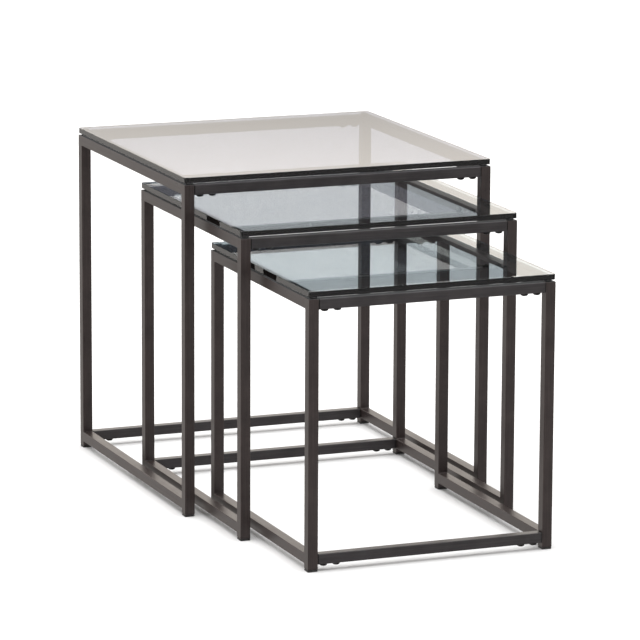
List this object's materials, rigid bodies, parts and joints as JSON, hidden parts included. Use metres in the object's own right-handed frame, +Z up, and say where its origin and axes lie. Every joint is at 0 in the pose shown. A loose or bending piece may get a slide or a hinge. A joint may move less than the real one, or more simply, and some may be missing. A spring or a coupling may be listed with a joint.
{
  "type": "nesting tables",
  "caption": "Nest of square side tables in welded dark steel tube with smoked glass tops; the smaller tables slide out of the larger ones.",
  "frame": {"origin": "on the floor, under the middle of the whole nest in its partly drawn out pose", "axes": "+Z up, -Y the front, where the smaller tables are drawn out, +X to the right seen from the front"},
  "size_m": [0.48, 0.832, 0.502],
  "materials": {
    "gunmetal_frame": "satin dark gunmetal coat with a faint grain along the tube",
    "joiner_steel": "blackened bolt steel",
    "smoked_glass": "grey tinted tempered glass, polished edges",
    "pad_rubber": "matt black pad",
    "cap_plastic": "matt black moulded cap"
  },
  "bodies": {
    "large_table": {"large_side_frame_left": "gunmetal_frame", "large_side_frame_right": "gunmetal_frame", "large_top_rail_front": "gunmetal_frame", "large_top_rail_front_joiner_left": "joiner_steel", "large_top_rail_front_joiner_right": "joiner_steel", "large_top_rail_rear": "gunmetal_frame", "large_top_rail_rear_joiner_left": "joiner_steel", "large_top_rail_rear_joiner_right": "joiner_steel", "large_bottom_rail_rear": "gunmetal_frame", "large_bottom_rail_rear_joiner_left": "joiner_steel", "large_bottom_rail_rear_joiner_right": "joiner_steel", "large_glass_top": "smoked_glass", "large_glass_pad_front_left": "pad_rubber", "large_foot_cap_front_left": "cap_plastic", "large_glass_pad_rear_left": "pad_rubber", "large_foot_cap_rear_left": "cap_plastic", "large_glass_pad_front_right": "pad_rubber", "large_foot_cap_front_right": "cap_plastic", "large_glass_pad_rear_right": "pad_rubber", "large_foot_cap_rear_right": "cap_plastic"},
    "medium_table": {"medium_side_frame_left": "gunmetal_frame", "medium_side_frame_right": "gunmetal_frame", "medium_top_rail_front": "gunmetal_frame", "medium_top_rail_front_joiner_left": "joiner_steel", "medium_top_rail_front_joiner_right": "joiner_steel", "medium_top_rail_rear": "gunmetal_frame", "medium_top_rail_rear_joiner_left": "joiner_steel", "medium_top_rail_rear_joiner_right": "joiner_steel", "medium_bottom_rail_rear": "gunmetal_frame", "medium_bottom_rail_rear_joiner_left": "joiner_steel", "medium_bottom_rail_rear_joiner_right": "joiner_steel", "medium_glass_top": "smoked_glass", "medium_glass_pad_front_left": "pad_rubber", "medium_foot_cap_front_left": "cap_plastic", "medium_glass_pad_rear_left": "pad_rubber", "medium_foot_cap_rear_left": "cap_plastic", "medium_glass_pad_front_right": "pad_rubber", "medium_foot_cap_front_right": "cap_plastic", "medium_glass_pad_rear_right": "pad_rubber", "medium_foot_cap_rear_right": "cap_plastic"},
    "small_table": {"small_side_frame_left": "gunmetal_frame", "small_side_frame_right": "gunmetal_frame", "small_top_rail_front": "gunmetal_frame", "small_top_rail_front_joiner_left": "joiner_steel", "small_top_rail_front_joiner_right": "joiner_steel", "small_top_rail_rear": "gunmetal_frame", "small_top_rail_rear_joiner_left": "joiner_steel", "small_top_rail_rear_joiner_right": "joiner_steel", "small_bottom_rail_front": "gunmetal_frame", "small_bottom_rail_front_joiner_left": "joiner_steel", "small_bottom_rail_front_joiner_right": "joiner_steel", "small_glass_top": "smoked_glass", "small_glass_pad_front_left": "pad_rubber", "small_foot_cap_front_left": "cap_plastic", "small_glass_pad_rear_left": "pad_rubber", "small_foot_cap_rear_left": "cap_plastic", "small_glass_pad_front_right": "pad_rubber", "small_foot_cap_front_right": "cap_plastic", "small_glass_pad_rear_right": "pad_rubber", "small_foot_cap_rear_right": "cap_plastic"}
  },
  "joints": [
    {"name": "medium_slide", "type": "slide", "parent": "large_table", "child": "medium_table", "axis": [0, -1, 0], "range_m": [-0.1975, 0.3]},
    {"name": "small_slide", "type": "slide", "parent": "medium_table", "child": "small_table", "axis": [0, -1, 0], "range_m": [-0.2135, 0.23]}
  ]
}
